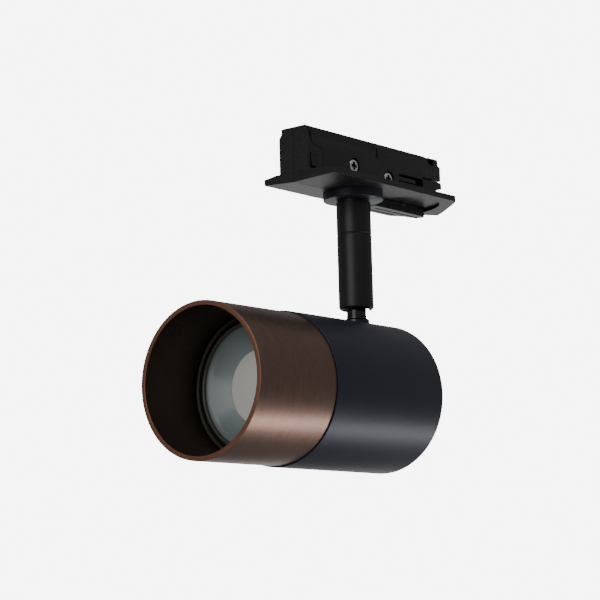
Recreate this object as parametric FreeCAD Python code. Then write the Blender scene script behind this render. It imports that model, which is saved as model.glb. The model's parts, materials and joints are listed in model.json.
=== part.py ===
"""A small track spotlight: a cylindrical head with a push-on snoot, hung from a track adapter.

The origin is on the stem's axis, in the plane of the adapter's track seat.
+Z points up into the track, -X is the way the beam leaves, and all sizes are in millimetres.
"""
import FreeCAD, Part
import math
import os

V = FreeCAD.Vector

# ---- clearances -------------------------------------------------------------------------------
STATIC_GAP = 0.05        # between fixed pieces that fit in each other
RUNNING_GAP = 0.06       # radial, between a shaft and the bore that turns on it
MOVING_GAP = 0.3         # between a moving piece and what it passes
SEAM_GAP = 0.16          # the visible line between two moulded halves

# ---- track adapter: flange --------------------------------------------------------------------
FLANGE_HALF_WIDTH = 18.0
FLANGE_LEFT = 34.3       # from the stem's axis to the plain end
FLANGE_RIGHT = 62.3      # from the stem's axis to the pointed end
FLANGE_SHOULDER = 46.0   # where the pointed end starts to narrow
FLANGE_EDGE = 2.4        # thickness at the long edges
FLANGE_FALL = 0.9        # how far the top falls from the seat to the long edges
FLANGE_RIDGE = 0.8       # how far the underside's ridge stands below its edges
SEAT_LAND = 2.0          # flat strip beside the body, which meets the track
SEAT_RELIEF = 0.2        # the top is this much lower under the end block and the hook

# ---- track adapter: body ----------------------------------------------------------------------
BODY_WIDTH = 14.2
BODY_OFFSET = 2.75       # from the stem's axis to the body's middle, across the track
BODY_HEIGHT = 18.2
BODY_RIGHT = 55.7
BODY_WALL = 1.5
BODY_FLOOR = 1.2         # height of the cavity's floor above the seat
KEY_STEP = 1.35          # depth of the step along the far top edge
KEY_HEIGHT = 2.1         # height of the step's upright part
KEY_SLOPE = 1.7          # height of the slope below it
TOP_BAND = 0.3           # depth of the shallow band under the near top edge
END_BLOCK_LENGTH = 9.7
END_BLOCK_HEIGHT = 10.2
BLOCK_SEAM = 0.16        # the visible line round the end block
PEG_R = 1.2              # the peg that holds the end block
PEG_Y = 0.5
PEG_Z = 5.5
PEG_DEPTH = 1.0          # how far the peg reaches past the wall
HOOK_HEIGHT = 8.15
HOOK_GAP = 0.6           # open slit above the hook
HOOK_TONGUE_START = 3.0  # the hook's tongue, from the hook's left side
HOOK_TONGUE_END = 9.0
HOOK_TONGUE_H = 3.0
HOOK_NOSE = 0.6          # how far the hook's nose passes the body's end
NOTCH_DEPTH = 3.9        # the hook's notch for the track's lip
NOTCH_LOW = 3.4
NOTCH_HIGH = 5.4

# ---- track adapter: screws, contacts and wiring ------------------------------------------------
LEFT_SCREW = (-3.7, 6.3)
RIGHT_SCREW_Z = 4.4
SCREW_TO_PIVOT = 15.2    # from the right screw to the lever's pivot
SCREW_R = 1.4
SCREW_HEAD_R = 2.75
SCREW_HEAD_H = 1.6
SCREW_RECESS_R = 3.2
BOSS_R = 2.5
CONTACT_PLACES = (-16.0, -10.0, 9.0)
CONTACT_WIDTH = 3.0
CONTACT_Z = 11.0
CONTACT_REACH = 1.2      # how far a contact's nose stands out of the body
CONTACT_ROOT = 1.2       # from the body's middle to the contact's flat foot
CONTACT_T = 0.6
CONTACT_FOOT_Z = 2.6
CONTACT_HALF_HEIGHT = 2.4
TERMINAL_PITCH = 4.2
TERMINAL_TOP = 8.5
TERMINAL_INSET = 1.6     # from the screw's boss to the terminal block
LEAD_R = 0.5
LEAD_PITCH = 1.1         # the three leads lie side by side at this spacing

# ---- lock lever and cam -----------------------------------------------------------------------
PIVOT_X = 34.5
LEVER_HUB_GAP = 2.2      # from the hub's edge to the handle's end
LEVER_SHORT = 16.1       # from the pivot to the lever's other end
LEVER_NEAR = 2.5         # from the pivot to the lever's near side
LEVER_FAR = 6.9          # from the pivot to the lever's far side
LEVER_BOTTOM = -6.8
POCKET_R = 17.3
POCKET_FLOOR = -2.7
SHAFT_R = 3.2
CAM_R = 9.9              # reach of the cam's round ends
CAM_HALF_WIDTH = 6.75    # the cam's flat sides stay just inside the body
CAM_CORNER = 3.6         # from the pivot to where each cut corner starts
CAM_BOTTOM = 4.95
CAM_THICKNESS = 1.8
CAM_SLOT_LOW = 4.4
CAM_SLOT_HIGH = 7.7
SLOT_HALF_LENGTH = 8.4
CAM_SPIGOT_R = 2.0

# ---- hub, nipple and stem ---------------------------------------------------------------------
HUB_R = 12.2
HUB_BOTTOM = -7.2
STEM_R = 7.0
SEAM_Z = -21.2           # bottom of the fixed collar
STEM_END = -52.2
STEM_END_ROUND = 1.3
STEM_BORE_R = 5.5
NIPPLE_R = 4.0
NIPPLE_BORE_R = 2.7
NIPPLE_HEAD_R = 8.0
NIPPLE_HEAD_H = 2.0
NIPPLE_HEAD_TOP = -1.3
THRUST_WASHER_H = 0.3
SWIVEL_SHOULDER = 6.0    # length of the stem's top that turns on the nipple
SWIVEL_NUT_H = 3.0
STOP_PIN_R = 0.75
STOP_RING_R = 5.55       # the stop pin runs on this circle
STOP_WEB_HALF_DEG = 2.0

# ---- knuckle ----------------------------------------------------------------------------------
TILT_Z = -47.2           # height of the tilt axis
POST_LENGTH = 10.3       # from the tilt axis to the head's surface
POST_R = 4.0
POST_BORE_R = 1.7
BLADE_HALF_WIDTH = 2.5   # the post's upper part is flattened to this, to pass the stem's slot
BLADE_END = 7.6          # from the tilt axis down to where the post is round again
THREAD_PITCH = 0.5
THREAD_DEPTH = 0.2
PIVOT_PIN_R = 1.4
PIN_REACH = 6.3          # from the stem's axis to the blind end of each pin's hole
FOOT_R = 5.1
FOOT_H = 1.6
POST_NUT_FLATS = 13.0
POST_NUT_H = 3.2
POST_WASHER_R = 7.0
POST_WASHER_H = 0.8

# ---- head -------------------------------------------------------------------------------------
HEAD_R = 30.0
HEAD_WALL = 2.0
HEAD_FRONT = -50.7
HEAD_REAR = 15.8
REAR_CAP_H = 2.9
REAR_CAP_INSET = 0.5
SNOOT_R = 29.5
SNOOT_WALL = 1.85
SNOOT_FRONT = -94.3
SNOOT_RELIEF = 0.1       # the snoot's rear bore is this much wider than its front bore
SLEEVE_FRONT = -66.6
SLEEVE_TAIL = 6.7        # how far the sleeve reaches into the head tube
SLEEVE_WALL = 1.15
O_RING_R = 0.42
O_RING_PLACES = (-61.0, -55.5)

# ---- lamp and lampholder ----------------------------------------------------------------------
LAMP_R = 25.0
LAMP_FRONT = -66.2
LENS_R = 23.3
LENS_DISC_R = 14.3
LENS_DEPTH = 5.8         # from the bezel's lip back to the lens's middle disc
REFLECTOR_START = 7.5    # from the bezel's lip back to the reflector
BOARD_START = 25.0       # from the bezel's lip back to the light board
LAMP_BASE_R = 12.0
LAMP_BASE_FRONT = -27.0
LAMP_BASE_REAR = -16.2
PIN_SPACING = 10.0
PIN_R = 1.7
PIN_HEAD_R = 2.4
PIN_LENGTH = 7.0
HOLDER_R = 13.5
HOLDER_FRONT = -15.8
HOLDER_REAR = -1.7
HOLDER_PLATE = 4.3       # thickness of the holder's front plate, which the pins' heads lock behind
HOLDER_SCREW_Z = 9.5
LAMP_TWIST_DEG = 20.0    # how far the lamp turns to unlock
BRACKET_T = 1.2
BRACKET_HALF_WIDTH = 24.0
BRACKET_HALF_HEIGHT = 7.0
CAP_SCREW_Y = 18.5
EARTH_Y = 17.5
SMALL_SCREW_R = 1.5
SMALL_HEAD_R = 2.8
SMALL_HEAD_H = 1.6

# ---- values that follow from the ones above ----------------------------------------------------
HEAD_DROP = POST_LENGTH + HEAD_R - TILT_Z   # from the track seat down to the head's axis
LEVER_LEFT = HUB_R + LEVER_HUB_GAP
LEVER_RIGHT = PIVOT_X + LEVER_SHORT
HOOK_LEFT = PIVOT_X + SLOT_HALF_LENGTH      # the end hook starts where the cam's slot ends
SCREW_PLACES = (LEFT_SCREW, (PIVOT_X - SCREW_TO_PIVOT, RIGHT_SCREW_Z))
NEAR_FACE = BODY_OFFSET - BODY_WIDTH / 2
FAR_FACE = BODY_OFFSET + BODY_WIDTH / 2
EDGE_BOTTOM = -FLANGE_FALL - FLANGE_EDGE
RIDGE_BOTTOM = EDGE_BOTTOM - FLANGE_RIDGE
CAVITY_NEAR = NEAR_FACE + BODY_WALL
CAVITY_FAR = FAR_FACE - BODY_WALL
CAVITY_TOP = BODY_HEIGHT - BODY_WALL - 0.5
CAVITY_LEFT = -FLANGE_LEFT + END_BLOCK_LENGTH + BODY_WALL
CAVITY_RIGHT = HOOK_LEFT - BODY_WALL + 0.8
CAM_TOP = CAM_BOTTOM + CAM_THICKNESS
STEM_TOP = SEAM_Z - THRUST_WASHER_H - STATIC_GAP
SHOULDER_Z = STEM_TOP - SWIVEL_SHOULDER
NIPPLE_END = SHOULDER_Z - 0.1 - POST_WASHER_H - SWIVEL_NUT_H - 0.4
HEAD_BORE_R = HEAD_R - HEAD_WALL
SNOOT_BORE_R = SNOOT_R - SNOOT_WALL
SNOOT_REAR = HEAD_FRONT - MOVING_GAP
SLEEVE_R = SNOOT_BORE_R + SNOOT_RELIEF - MOVING_GAP - 0.1
SLEEVE_BORE_R = SLEEVE_R - SLEEVE_WALL
BRACKET_FRONT = HOLDER_REAR + STATIC_GAP
BRACKET_REAR = BRACKET_FRONT + BRACKET_T
CAP_FRONT = HEAD_REAR - REAR_CAP_INSET - REAR_CAP_H


# ---- shape helpers ----------------------------------------------------------------------------
def box(x0, x1, y0, y1, z0, z1):
    return Part.makeBox(x1 - x0, y1 - y0, z1 - z0, V(x0, y0, z0))


def rod(radius, start, end):
    """A round bar from one point to another."""
    a, b = V(*start), V(*end)
    return Part.makeCylinder(radius, (b - a).Length, a, b - a)


def ring(outer, inner, start, end):
    return rod(outer, start, end).cut(rod(inner, start, end))


def face(points):
    corners = [V(*p) for p in points]
    return Part.Face(Part.makePolygon(corners + corners[:1]))


def prism_x(points, x0, x1):
    """Points are (y, z)."""
    return face([(x0, y, z) for y, z in points]).extrude(V(x1 - x0, 0, 0))


def prism_y(points, y0, y1):
    """Points are (x, z)."""
    return face([(x, y0, z) for x, z in points]).extrude(V(0, y1 - y0, 0))


def prism_z(points, z0, z1):
    """Points are (x, y)."""
    return face([(x, y, z0) for x, y in points]).extrude(V(0, 0, z1 - z0))


def turned(points):
    """A body of revolution about the head's axis. Points are (x, radius)."""
    profile = face([(x, 0, r) for x, r in points])
    solid = profile.revolve(V(0, 0, 0), V(1, 0, 0), 360)
    return on_head(solid)


def on_head(shape):
    """Moves a shape made about the X axis down to the head's axis."""
    moved = shape.copy()
    moved.translate(V(0, 0, -HEAD_DROP))
    return moved


def fuse_all(shapes):
    first = shapes[0]
    for other in shapes[1:]:
        first = first.fuse(other)
    return first.removeSplitter()


def cut_all(shape, tools):
    for tool in tools:
        shape = shape.cut(tool)
    return shape


def hexagon(flats, z0, z1):
    radius = flats / math.sqrt(3)
    turns = [math.radians(60 * k) for k in range(6)]
    corners = [(radius * math.cos(a), radius * math.sin(a)) for a in turns]
    return prism_z(corners, z0, z1)


def wire_tube(points, radius, bend):
    """A tube along straight runs, with a round bend of the same size at each inner point."""
    corners = [V(*p) for p in points]
    edges = []
    start = corners[0]
    for before, here, after in zip(corners, corners[1:], corners[2:]):
        back = (before - here).normalize()
        ahead = (after - here).normalize()
        half_turn = (math.pi - back.getAngle(ahead)) / 2
        set_back = bend * math.tan(half_turn)
        first = here + back * set_back
        last = here + ahead * set_back
        middle_way = (back + ahead).normalize()
        centre = here + middle_way * (bend / math.cos(half_turn))
        edges.append(Part.LineSegment(start, first).toShape())
        edges.append(Part.Arc(first, centre - middle_way * bend, last).toShape())
        start = last
    edges.append(Part.LineSegment(start, corners[-1]).toShape())
    path = Part.Wire(edges)
    circle = Part.Circle(corners[0], corners[1] - corners[0], radius)
    profile = Part.Wire([circle.toShape()])
    return path.makePipeShell([profile], True, False)


def cross_slot(radius, depth, top, axis_start):
    """The two crossed slots of a screw head that faces -Y, as a cutting tool."""
    x, z = axis_start
    width = radius * 0.26
    reach = radius * 0.62
    upright = box(x - width, x + width, top, top + depth, z - reach, z + reach)
    level = box(x - reach, x + reach, top, top + depth, z - width, z + width)
    return upright.fuse(level)


def lead_places():
    """The three leads' places across the stem, as (x, y)."""
    return [(0, -LEAD_PITCH), (0, 0), (0, LEAD_PITCH)]


# ---- track adapter ----------------------------------------------------------------------------
def flange():
    w = FLANGE_HALF_WIDTH
    section = [(-w, EDGE_BOTTOM), (BODY_OFFSET, RIDGE_BOTTOM), (w, EDGE_BOTTOM), (w, -FLANGE_FALL),
               (FAR_FACE + SEAT_LAND, 0), (NEAR_FACE - SEAT_LAND, 0), (-w, -FLANGE_FALL)]
    bar = prism_x(section, -FLANGE_LEFT, FLANGE_RIGHT)
    step = FLANGE_RIGHT - FLANGE_SHOULDER
    outline = [(-FLANGE_LEFT, -w), (FLANGE_SHOULDER, -w), (FLANGE_SHOULDER + 0.11 * step, -w + 0.7),
               (FLANGE_SHOULDER + 0.31 * step, -w + 4.6), (FLANGE_RIGHT - 1.3, -0.2), (FLANGE_RIGHT, BODY_OFFSET),
               (FLANGE_RIGHT - 0.38 * step, w / 2), (FLANGE_SHOULDER - 0.38 * step, w), (-FLANGE_LEFT, w)]
    return bar.common(prism_z(outline, RIDGE_BOTTOM - 1, BODY_HEIGHT))


def body_block():
    """The upright body, with its stepped far edge, shaped along its right end."""
    top = BODY_HEIGHT
    key = FAR_FACE - KEY_STEP
    section = [(NEAR_FACE, -1), (FAR_FACE, -1), (FAR_FACE, top - KEY_HEIGHT - KEY_SLOPE), (key, top - KEY_HEIGHT),
               (key, top - 0.2), (key - 0.2, top), (NEAR_FACE + 0.8, top), (NEAR_FACE + 0.2, top - 0.25),
               (NEAR_FACE, top - 0.8)]
    bar = prism_x(section, -FLANGE_LEFT, BODY_RIGHT)
    x = BODY_RIGHT
    profile = [(-FLANGE_LEFT - 1, -2), (x, -2), (x, top - 3.6), (x - 1.7, top - 2.7), (x - 1.7, top - 0.7),
               (x - 2.2, top + 0.1), (x - 8.2, top - 0.1), (x - 9.6, top - 0.6), (x - 12.2, top), (x - 12.6, top + 1),
               (-FLANGE_LEFT - 1, top + 1)]
    return bar.common(prism_y(profile, NEAR_FACE - 1, FAR_FACE + 1))


def end_block_outline(grow):
    """The S-shaped outline of the end block on the near side, as (x, z)."""
    left = -FLANGE_LEFT - grow
    right = -FLANGE_LEFT + END_BLOCK_LENGTH + grow
    z = END_BLOCK_HEIGHT + grow
    low = STATIC_GAP - SEAT_RELIEF
    return [(left, low), (right, low), (right, z - 0.7), (right - 0.3, z - 0.2), (right - 1.2, z),
            (right - 4.0, z + 0.1), (right - 5.2, z + 0.5), (right - 6.6, z + 1.4), (right - 7.6, z + 2.9),
            (right - 8.1, z + 4.9), (0.5 + grow - FLANGE_LEFT, BODY_HEIGHT - 1.0), (left, BODY_HEIGHT - 1.0)]


def end_block():
    block = prism_y(end_block_outline(0), NEAR_FACE, BODY_OFFSET - SEAM_GAP / 2)
    left = -FLANGE_LEFT + 2.0
    gap_outline = [(left, 1.0), (left + 3.8, 1.3), (left + 3.8, 1.9), (left + 1.0, 2.2), (left + 0.45, 7.2), (left, 7.2)]
    gap = prism_y(gap_outline, NEAR_FACE - 1, NEAR_FACE + 4.5)
    tongue = box(left + 0.65, left + 4.9, NEAR_FACE - 1, NEAR_FACE + 0.15, 1.8, 7.2)
    peg = rod(PEG_R, (-FLANGE_LEFT + END_BLOCK_LENGTH - 0.5, PEG_Y, PEG_Z), (CAVITY_LEFT + PEG_DEPTH, PEG_Y, PEG_Z))
    return cut_all(block, [gap, tongue]).fuse(peg)


def hook_outline():
    x = BODY_RIGHT
    left = HOOK_LEFT + STATIC_GAP
    low = STATIC_GAP - SEAT_RELIEF
    notch = x - NOTCH_DEPTH + HOOK_NOSE
    return [(left, low), (x - 0.6, low), (x - 1.1, NOTCH_LOW), (notch, NOTCH_LOW), (notch, NOTCH_HIGH - 0.5),
            (x + HOOK_NOSE, NOTCH_HIGH), (x + HOOK_NOSE, NOTCH_HIGH + 1.2), (x + 0.4, HOOK_HEIGHT),
            (left, HOOK_HEIGHT)]


def hook_tongue(gap):
    """The tongue that holds the hook in the body. A positive gap gives its slot."""
    return box(HOOK_LEFT + HOOK_TONGUE_START - gap, HOOK_LEFT + HOOK_TONGUE_END + gap, CAVITY_NEAR + 1 - gap,
               CAVITY_FAR - 1 + gap, HOOK_HEIGHT - 1, HOOK_HEIGHT + HOOK_TONGUE_H + gap)


def end_hook():
    hook = prism_y(hook_outline(), NEAR_FACE, FAR_FACE)
    cam_room = rod(CAM_R + MOVING_GAP, (PIVOT_X, BODY_OFFSET, CAM_SLOT_LOW), (PIVOT_X, BODY_OFFSET, CAM_SLOT_HIGH))
    return hook.fuse(hook_tongue(0)).cut(cam_room)


def lever_pocket():
    """The shallow recess under the flange that the lever turns in, open at the far edge."""
    low = RIDGE_BOTTOM - 1
    reach = PIVOT_X - LEVER_LEFT
    sweep = math.hypot(reach, LEVER_FAR) + MOVING_GAP
    centre = V(PIVOT_X, BODY_OFFSET, low)
    height = POCKET_FLOOR - low
    round_part = Part.makeCylinder(POCKET_R, height, centre)
    sector = Part.makeCylinder(sweep, height, centre, V(0, 0, 1), 90)
    sector.rotate(centre, V(0, 0, 1), 90)
    rest = box(PIVOT_X - sweep, PIVOT_X, BODY_OFFSET - LEVER_NEAR - MOVING_GAP, FLANGE_HALF_WIDTH + 1, low, POCKET_FLOOR)
    past_lever = box(PIVOT_X - sweep, LEVER_LEFT - MOVING_GAP, -99, 99, low - 1, BODY_HEIGHT)
    swept = fuse_all([sector, rest.common(Part.makeCylinder(sweep, height, centre))])
    return fuse_all([round_part, swept]).cut(past_lever)


def housing():
    """Both adapter halves as one solid, before they are split."""
    whole = fuse_all([flange(), body_block()])
    cavity = box(CAVITY_LEFT, CAVITY_RIGHT, CAVITY_NEAR, CAVITY_FAR, BODY_FLOOR, CAVITY_TOP)
    low = RIDGE_BOTTOM - 1
    nipple_hole = rod(NIPPLE_R + STATIC_GAP, (0, 0, low), (0, 0, NIPPLE_HEAD_TOP))
    head_pocket = rod(NIPPLE_HEAD_R + STATIC_GAP, (0, 0, NIPPLE_HEAD_TOP - NIPPLE_HEAD_H - STATIC_GAP),
                      (0, 0, NIPPLE_HEAD_TOP + STATIC_GAP))
    wire_hole = rod(NIPPLE_BORE_R, (0, 0, NIPPLE_HEAD_TOP), (0, 0, BODY_FLOOR + 1))
    shaft_hole = rod(SHAFT_R + RUNNING_GAP, (PIVOT_X, BODY_OFFSET, low), (PIVOT_X, BODY_OFFSET, BODY_FLOOR + 1))
    cam_slot = box(PIVOT_X - SLOT_HALF_LENGTH, PIVOT_X + SLOT_HALF_LENGTH, NEAR_FACE - 1, FAR_FACE + 1,
                   CAM_SLOT_LOW, CAM_SLOT_HIGH)
    past_hook = box(HOOK_LEFT - STATIC_GAP, BODY_RIGHT + 9, NEAR_FACE - 1, FAR_FACE + 1, 0, HOOK_HEIGHT + HOOK_GAP)
    block_room = prism_y(end_block_outline(BLOCK_SEAM), NEAR_FACE - 1, BODY_OFFSET)
    block_room = block_room.common(box(-FLANGE_LEFT - 9, 0, NEAR_FACE - 1, BODY_OFFSET, 0, BODY_HEIGHT))
    block_floor = box(-FLANGE_LEFT - 1, -FLANGE_LEFT + END_BLOCK_LENGTH + BLOCK_SEAM, NEAR_FACE, BODY_OFFSET,
                      -SEAT_RELIEF, STATIC_GAP)
    hook_floor = box(HOOK_LEFT - STATIC_GAP, FLANGE_RIGHT + 1, NEAR_FACE, FAR_FACE, -SEAT_RELIEF, STATIC_GAP)
    peg_hole = rod(PEG_R + STATIC_GAP, (-FLANGE_LEFT, PEG_Y, PEG_Z), (CAVITY_LEFT + PEG_DEPTH, PEG_Y, PEG_Z))
    band = box(-FLANGE_LEFT + 2, 9.5, NEAR_FACE - 1, NEAR_FACE + TOP_BAND, BODY_HEIGHT - 3.6, BODY_HEIGHT)
    mould_groove = box(10.5, 11.7, NEAR_FACE - 1, NEAR_FACE + 0.45, BODY_HEIGHT - 6.2, BODY_HEIGHT - 2.2)
    end_notch = prism_y([(BODY_RIGHT - 9.4, BODY_HEIGHT - 1.2), (BODY_RIGHT - 8.6, BODY_HEIGHT - 2.6),
                         (BODY_RIGHT - 6.4, BODY_HEIGHT - 3.6), (BODY_RIGHT - 4.8, BODY_HEIGHT - 3.0),
                         (BODY_RIGHT - 4.4, BODY_HEIGHT - 1.4), (BODY_RIGHT - 6.2, BODY_HEIGHT - 0.9)],
                        NEAR_FACE - 1, NEAR_FACE + 2.4)
    return cut_all(whole, [cavity, nipple_hole, head_pocket, wire_hole, lever_pocket(), shaft_hole,
                           cam_slot, past_hook, hook_tongue(STATIC_GAP), block_room, peg_hole, band, mould_groove,
                           end_notch, block_floor, hook_floor])


def screw_bosses():
    """The near half's screw seats and the far half's threaded bosses, as (near, far) lists."""
    near, far = [], []
    for x, z in SCREW_PLACES:
        near.append(rod(SCREW_RECESS_R + 0.8, (x, NEAR_FACE + 0.8, z), (x, BODY_OFFSET - SEAM_GAP / 2, z)))
        far.append(rod(BOSS_R, (x, BODY_OFFSET + SEAM_GAP / 2, z), (x, FAR_FACE - 0.8, z)))
    return near, far


def adapter_halves():
    whole = housing()
    near_side = box(-99, 99, -99, BODY_OFFSET - SEAM_GAP / 2, -99, 99)
    far_side = box(-99, 99, BODY_OFFSET + SEAM_GAP / 2, 99, -99, 99)
    near_bosses, far_bosses = screw_bosses()
    above_floor = box(-99, 99, -99, 99, BODY_FLOOR - 0.1, CAVITY_TOP)
    near = fuse_all([whole.common(near_side)] + [b.common(above_floor) for b in near_bosses])
    far = fuse_all([whole.common(far_side)] + [b.common(above_floor) for b in far_bosses])
    for x, z in SCREW_PLACES:
        recess = rod(SCREW_RECESS_R, (x, NEAR_FACE - 1, z), (x, NEAR_FACE + SCREW_HEAD_H + 0.5, z))
        bore = rod(SCREW_R + STATIC_GAP, (x, NEAR_FACE - 1, z), (x, FAR_FACE - 1.5, z))
        near = cut_all(near, [recess, bore])
        far = far.cut(bore)
    far = cut_all(far, [contact_window(x) for x in CONTACT_PLACES])
    return near, far


def housing_screws():
    screws = []
    for x, z in SCREW_PLACES:
        head_top = NEAR_FACE + 0.45
        head_foot = NEAR_FACE + SCREW_HEAD_H + 0.5
        head = rod(SCREW_HEAD_R, (x, head_top, z), (x, head_foot, z))
        head = head.makeFillet(0.4, [e for e in head.Edges if e.Closed and e.BoundBox.YMax < head_top + 0.1])
        shank = rod(SCREW_R, (x, head_foot - 0.2, z), (x, FAR_FACE - 2.2, z))
        screws.append(head.fuse(shank).cut(cross_slot(SCREW_HEAD_R, 0.9, head_top, (x, z))))
    return Part.makeCompound(screws)


def contact_window(x):
    half = CONTACT_WIDTH / 2 + 0.3
    return box(x - half, x + half, BODY_OFFSET, FAR_FACE + 1, CONTACT_Z - CONTACT_HALF_HEIGHT,
               CONTACT_Z + CONTACT_HALF_HEIGHT)


def contact(x):
    """A spring contact: a flat strip whose bowed nose stands out of the far side."""
    root = BODY_OFFSET + CONTACT_ROOT
    nose = FAR_FACE + CONTACT_REACH
    t = CONTACT_T
    strip = [(root, CONTACT_FOOT_Z), (root + t, CONTACT_FOOT_Z), (root + t, CONTACT_Z - 1.9), (nose - 1.0, CONTACT_Z - 1.5),
             (nose, CONTACT_Z - 0.5), (nose, CONTACT_Z + 0.5), (nose - 1.0, CONTACT_Z + 1.5),
             (root + t, CONTACT_Z + 1.9), (root, CONTACT_Z + 1.9)]
    hollow = [(root + 2 * t, CONTACT_Z - 1.1), (nose - 1.3, CONTACT_Z - 0.8), (nose - t, CONTACT_Z),
              (nose - 1.3, CONTACT_Z + 0.8), (root + 2 * t, CONTACT_Z + 1.1)]
    x0, x1 = x - CONTACT_WIDTH / 2, x + CONTACT_WIDTH / 2
    return prism_x(strip, x0, x1).cut(prism_x(hollow, x0 - 1, x1 + 1))


def contact_carrier():
    x0, x1 = CONTACT_PLACES[0] - 3.5, CONTACT_PLACES[-1] + 3.5
    block = box(x0, x1, BODY_OFFSET + 0.6, CAVITY_FAR - STATIC_GAP, BODY_FLOOR + STATIC_GAP, CAVITY_TOP - 1)
    rooms = []
    for x in CONTACT_PLACES:
        half = CONTACT_WIDTH / 2 + STATIC_GAP
        root = BODY_OFFSET + CONTACT_ROOT
        rooms.append(box(x - half, x + half, root - STATIC_GAP, root + CONTACT_T + STATIC_GAP,
                         CONTACT_FOOT_Z - 0.1, CONTACT_Z + CONTACT_HALF_HEIGHT))
        rooms.append(box(x - half, x + half, root - STATIC_GAP, FAR_FACE, CONTACT_Z - 2.2, CONTACT_Z + 2.2))
    for x, z in SCREW_PLACES:
        rooms.append(rod(BOSS_R + 0.2, (x, BODY_OFFSET, z), (x, FAR_FACE, z)))
    return cut_all(block, rooms)


def terminal_block():
    x1 = SCREW_PLACES[0][0] - SCREW_RECESS_R - TERMINAL_INSET
    x0 = x1 - 3 * TERMINAL_PITCH
    block = box(x0, x1, CAVITY_NEAR + STATIC_GAP, BODY_OFFSET - 0.4, BODY_FLOOR + STATIC_GAP, TERMINAL_TOP)
    holes = [rod(1.3, (x, 0, TERMINAL_TOP - 3.5), (x, 0, TERMINAL_TOP + 0.5)) for x in terminal_places()]
    return cut_all(block, holes)


def terminal_places():
    x1 = SCREW_PLACES[0][0] - SCREW_RECESS_R - TERMINAL_INSET
    return [x1 - TERMINAL_PITCH * (k + 0.5) for k in range(3)]


def terminal_screws():
    screws = []
    for x in terminal_places():
        screw = rod(1.25, (x, 0, TERMINAL_TOP - 3.3), (x, 0, TERMINAL_TOP + 0.8))
        screws.append(screw.cut(box(x - 2, x + 2, -0.25, 0.25, TERMINAL_TOP + 0.2, TERMINAL_TOP + 1.5)))
    return Part.makeCompound(screws)


def supply_leads():
    """The three leads from the terminal block down through the nipple."""
    x_start = terminal_places()[0] + TERMINAL_PITCH / 2 + STATIC_GAP
    z = BODY_FLOOR + STATIC_GAP + LEAD_R
    bend = 1.6
    tubes = [wire_tube([(x_start, y, z), (x, y, z), (x, y, NIPPLE_END - 1.5)], LEAD_R, bend)
             for x, y in lead_places()]
    return Part.makeCompound(tubes)


# ---- lock lever and cam -----------------------------------------------------------------------
def lock_lever():
    near, far = BODY_OFFSET - LEVER_NEAR, BODY_OFFSET + LEVER_FAR
    top = POCKET_FLOOR - 0.2
    r = LEVER_RIGHT
    outline = [(LEVER_LEFT + 0.8, near), (r - 1.8, near), (r - 0.5, near + 0.6), (r, near + 1.9), (r - 0.6, near + 4.3),
               (r - 1.6, near + 4.9), (r - 8.5, near + 6.4), (r - 13.0, far - 0.3), (r - 14.0, far),
               (LEVER_LEFT + 1.6, far), (LEVER_LEFT + 0.5, far - 0.6), (LEVER_LEFT, far - 1.8),
               (LEVER_LEFT, near + 0.8)]
    handle = prism_z(outline, LEVER_BOTTOM, top)
    first = box(LEVER_LEFT + 5, r - 2, near + 2.9, near + 3.8, LEVER_BOTTOM - 1, LEVER_BOTTOM + 1.0)
    second = box(LEVER_LEFT + 5, r - 14, near + 6.2, near + 7.1, LEVER_BOTTOM - 1, LEVER_BOTTOM + 1.0)
    shaft = rod(SHAFT_R, (PIVOT_X, BODY_OFFSET, top - 1), (PIVOT_X, BODY_OFFSET, CAM_BOTTOM - STATIC_GAP))
    spigot = rod(CAM_SPIGOT_R, (PIVOT_X, BODY_OFFSET, CAM_BOTTOM - 1), (PIVOT_X, BODY_OFFSET, CAM_TOP))
    screw_hole = rod(1.05, (PIVOT_X, BODY_OFFSET, CAM_BOTTOM - 3), (PIVOT_X, BODY_OFFSET, CAM_TOP + 1))
    return cut_all(fuse_all([handle, shaft, spigot]), [first, second, screw_hole])


def lock_cam():
    """The round plate with two flat sides that turns out through the body's side slots."""
    w = CAM_HALF_WIDTH
    x, y = PIVOT_X, BODY_OFFSET
    disc = rod(CAM_R, (x, y, CAM_BOTTOM), (x, y, CAM_TOP))
    plate = disc.common(box(x - CAM_R, x + CAM_R, y - w, y + w, CAM_BOTTOM, CAM_TOP))
    for side in (-1, 1):
        a, b = sorted((x - side * CAM_CORNER, x - side * (CAM_R + 1)))
        c, d = sorted((y + side * CAM_CORNER, y + side * (CAM_R + 1)))
        plate = plate.cut(box(a, b, c, d, CAM_BOTTOM - 1, CAM_TOP + 1))
    return plate.cut(rod(CAM_SPIGOT_R + STATIC_GAP, (x, y, CAM_BOTTOM - 1), (x, y, CAM_TOP + 1)))


def cam_screw():
    x, y = PIVOT_X, BODY_OFFSET
    head = rod(3.0, (x, y, CAM_TOP + STATIC_GAP), (x, y, CAM_TOP + 1.8))
    shank = rod(1.0, (x, y, CAM_BOTTOM - 2.5), (x, y, CAM_TOP + 1))
    return head.fuse(shank).cut(box(x - 4, x + 4, y - 0.3, y + 0.3, CAM_TOP + 1.1, CAM_TOP + 3))


def cam_spacer():
    """The sleeve round the shaft that keeps the cam at its height above the floor."""
    x, y = PIVOT_X, BODY_OFFSET
    return ring(SHAFT_R + 1.2, SHAFT_R + RUNNING_GAP, (x, y, BODY_FLOOR + STATIC_GAP), (x, y, CAM_BOTTOM - 0.1))


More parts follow.
